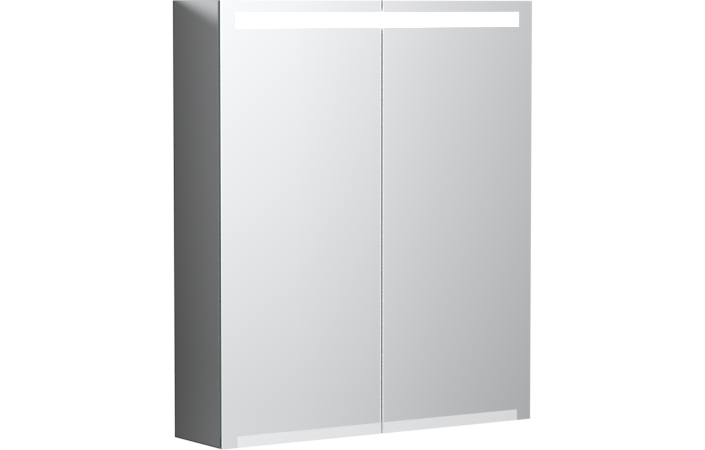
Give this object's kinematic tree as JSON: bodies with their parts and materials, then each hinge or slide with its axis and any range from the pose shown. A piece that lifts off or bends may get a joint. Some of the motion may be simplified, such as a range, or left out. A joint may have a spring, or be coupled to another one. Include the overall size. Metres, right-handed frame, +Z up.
{
  "type": "medicine cabinet with mirror",
  "caption": "Wall-hung bathroom cabinet with two hinged mirror doors, mirrored sides, a lit window strip, a satin grip strip and glass shelves.",
  "frame": {"origin": "on the wall plane, at the middle of the four wall holes, which is 341 mm above the lower edge", "axes": "+X to the right seen from the front, +Y into the wall, +Z up"},
  "size_m": [0.6, 0.15, 0.7],
  "materials": {
    "mirror_glass": "silvered float glass",
    "satin_glass": "etched satin glass",
    "lit_window": "opal window, lit from behind",
    "opal_diffuser": "opal acrylic",
    "clear_glass": "clear float glass, ground edges",
    "white_board": "white melamine-faced board",
    "anodised_aluminium": "satin anodised",
    "zinc_steel": "zinc plated",
    "white_enamel": "powder coated",
    "bright_steel": "nickel plated",
    "zinc_diecast": "die-cast",
    "nickel_steel": "nickel plated",
    "black_rubber": "matte",
    "clear_rubber": "translucent",
    "circuit_board": "white solder mask",
    "led_chip": "phosphor",
    "contact_brass": "spring brass",
    "lead_sleeve": "insulated wire",
    "driver_case": "moulded case",
    "white_plastic": "moulded"
  },
  "bodies": {
    "cabinet": {"back_panel": "white_board", "bottom_panel": "white_board", "bottom_wall_rail": "zinc_steel", "cable_clamp": "zinc_steel", "cable_grommet": "black_rubber", "cam_bolts": "bright_steel", "cam_locks": "zinc_diecast", "cover_mounting_blocks": "white_plastic", "driver_leads": "lead_sleeve", "fittings_box": "white_plastic", "hinge_arm_pins": "bright_steel", "hinge_arms": "nickel_steel", "hinge_mounting_plates": "nickel_steel", "hinge_plate_screws": "bright_steel", "led_board": "circuit_board", "led_chips": "led_chip", "led_driver": "driver_case", "left_side_mirror": "mirror_glass", "left_side_panel": "white_board", "light_diffuser": "opal_diffuser", "light_end_caps": "white_plastic", "light_housing": "anodised_aluminium", "lower_shelf": "clear_glass", "middle_shelf": "clear_glass", "rail_end_brackets": "zinc_steel", "rail_screws": "bright_steel", "right_side_mirror": "mirror_glass", "right_side_panel": "white_board", "service_cover": "white_enamel", "service_cover_screws": "bright_steel", "shelf_support_pins": "bright_steel", "socket_earth_clips": "contact_brass", "socket_insert": "white_plastic", "switch_frame": "white_plastic", "terminal_block": "white_plastic", "terminal_screws": "bright_steel", "top_panel": "white_board", "top_wall_rail": "zinc_steel", "upper_shelf": "clear_glass"},
    "left_door": {"left_door_mirror": "mirror_glass", "left_door_inner_mirror": "mirror_glass", "left_light_window": "lit_window", "left_grip_strip": "satin_glass", "left_hinge_glue_plates": "nickel_steel", "left_hinge_cups": "nickel_steel", "left_cup_pins": "bright_steel", "left_door_bumpers": "clear_rubber"},
    "right_door": {"right_door_mirror": "mirror_glass", "right_door_inner_mirror": "mirror_glass", "right_light_window": "lit_window", "right_grip_strip": "satin_glass", "right_hinge_glue_plates": "nickel_steel", "right_hinge_cups": "nickel_steel", "right_cup_pins": "bright_steel", "right_door_bumpers": "clear_rubber"},
    "left_hinge_outer": {"left_outer_links": "nickel_steel"},
    "right_hinge_outer": {"right_outer_links": "nickel_steel"},
    "left_hinge_inner": {"left_inner_links": "nickel_steel"},
    "right_hinge_inner": {"right_inner_links": "nickel_steel"},
    "rocker": {"switch_rocker": "white_plastic"}
  },
  "joints": [
    {"name": "left_door_hinge", "type": "hinge", "parent": "cabinet", "child": "left_door", "pos_m": [-0.3, -0.1425, 0.009], "axis": [0, 0, -1], "range_deg": [0, 105]},
    {"name": "left_outer_link_pivot", "type": "hinge", "parent": "cabinet", "child": "left_hinge_outer", "pos_m": [-0.274, -0.1265, 0.009], "axis": [0, 0, -1], "range_deg": [0, 105]},
    {"name": "left_inner_link_pivot", "type": "hinge", "parent": "left_door", "child": "left_hinge_inner", "pos_m": [-0.267, -0.1365, 0.009], "axis": [0, 0, 1], "range_deg": [0, 105]},
    {"name": "right_door_hinge", "type": "hinge", "parent": "cabinet", "child": "right_door", "pos_m": [0.3, -0.1425, 0.009], "axis": [0, 0, 1], "range_deg": [0, 105]},
    {"name": "right_outer_link_pivot", "type": "hinge", "parent": "cabinet", "child": "right_hinge_outer", "pos_m": [0.274, -0.1265, 0.009], "axis": [0, 0, 1], "range_deg": [0, 105]},
    {"name": "right_inner_link_pivot", "type": "hinge", "parent": "right_door", "child": "right_hinge_inner", "pos_m": [0.267, -0.1365, 0.009], "axis": [0, 0, -1], "range_deg": [0, 105]},
    {"name": "light_switch_rocker", "type": "hinge", "parent": "cabinet", "child": "rocker", "pos_m": [0.13, -0.1015, 0.271], "axis": [1, 0, 0], "range_deg": [0, 12]}
  ],
  "couplings": [
    {"joint": "left_outer_link_pivot", "follows": "left_door_hinge", "ratio": 1},
    {"joint": "left_inner_link_pivot", "follows": "left_door_hinge", "ratio": 1},
    {"joint": "right_outer_link_pivot", "follows": "right_door_hinge", "ratio": 1},
    {"joint": "right_inner_link_pivot", "follows": "right_door_hinge", "ratio": 1}
  ]
}
